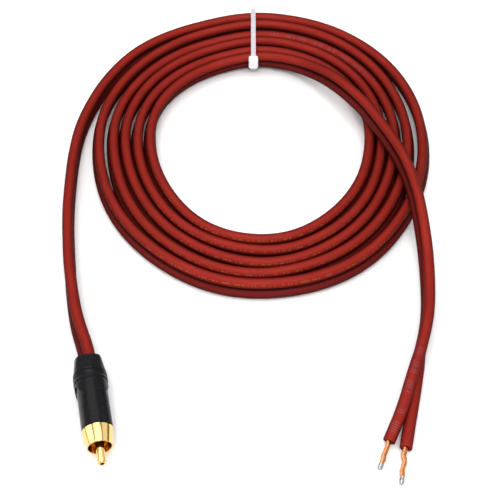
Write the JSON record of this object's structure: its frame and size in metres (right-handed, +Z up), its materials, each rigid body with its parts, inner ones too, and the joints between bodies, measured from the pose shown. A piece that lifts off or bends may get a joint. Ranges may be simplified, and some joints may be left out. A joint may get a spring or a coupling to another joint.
{
  "type": "twin-core audio lead with phono plug and bare wire ends",
  "caption": "Coiled red twin-core cable with a black and gold phono plug on one end, two tinned bare wires on the other, and a white cable tie around the coil.",
  "frame": {"origin": "under the middle of the plug, on the surface it lies on", "axes": "+Y runs along the plug from its pin to its cable, +Z is up, +X is to the right seen from above with the plug's pin towards the viewer"},
  "size_m": [0.1851, 0.2829, 0.0197],
  "materials": {
    "black_metal": "satin",
    "gold_plate": "polished",
    "black_plastic": "matte",
    "red_jacket": "satin",
    "copper": "bright",
    "solder": "bright",
    "white_nylon": "satin"
  },
  "bodies": {
    "plug_and_cable": {"ground_collar": "gold_plate", "centre_pin": "gold_plate", "pin_insulator": "black_plastic", "ground_tag": "gold_plate", "insulating_sleeve": "black_plastic", "signal_solder": "solder", "ground_solder": "solder", "signal_strands_in_plug": "copper", "ground_strands_in_plug": "copper", "cable_end_in_plug": "red_jacket", "lead_to_plug": "red_jacket", "cable_coil": "red_jacket", "cable_tie": "white_nylon", "lead_to_split": "red_jacket", "split_leg_marked": "red_jacket", "split_leg_plain": "red_jacket", "strands_marked": "copper", "strands_plain": "copper", "tinned_tip_marked": "solder", "tinned_tip_plain": "solder"},
    "chuck": {"cable_chuck": "black_plastic"},
    "barrel_body": {"barrel": "black_metal"},
    "nut_body": {"gland_nut": "black_metal"}
  },
  "joints": [
    {"name": "chuck_slide", "type": "slide", "parent": "plug_and_cable", "child": "chuck", "axis": [0, 1, 0], "range_m": [0, 0.0051]},
    {"name": "barrel_turn", "type": "hinge", "parent": "chuck", "child": "barrel_body", "pos_m": [0, 0.0032, 0.00675], "axis": [0, 1, 0], "range_deg": [0, 1800]},
    {"name": "gland_turn", "type": "hinge", "parent": "barrel_body", "child": "nut_body", "pos_m": [0, 0.01925, 0.00675], "axis": [0, 1, 0], "range_deg": [0, 360]}
  ],
  "couplings": [
    {"joint": "chuck_slide", "follows": "barrel_turn", "m_per_rad": 0.00015915}
  ]
}
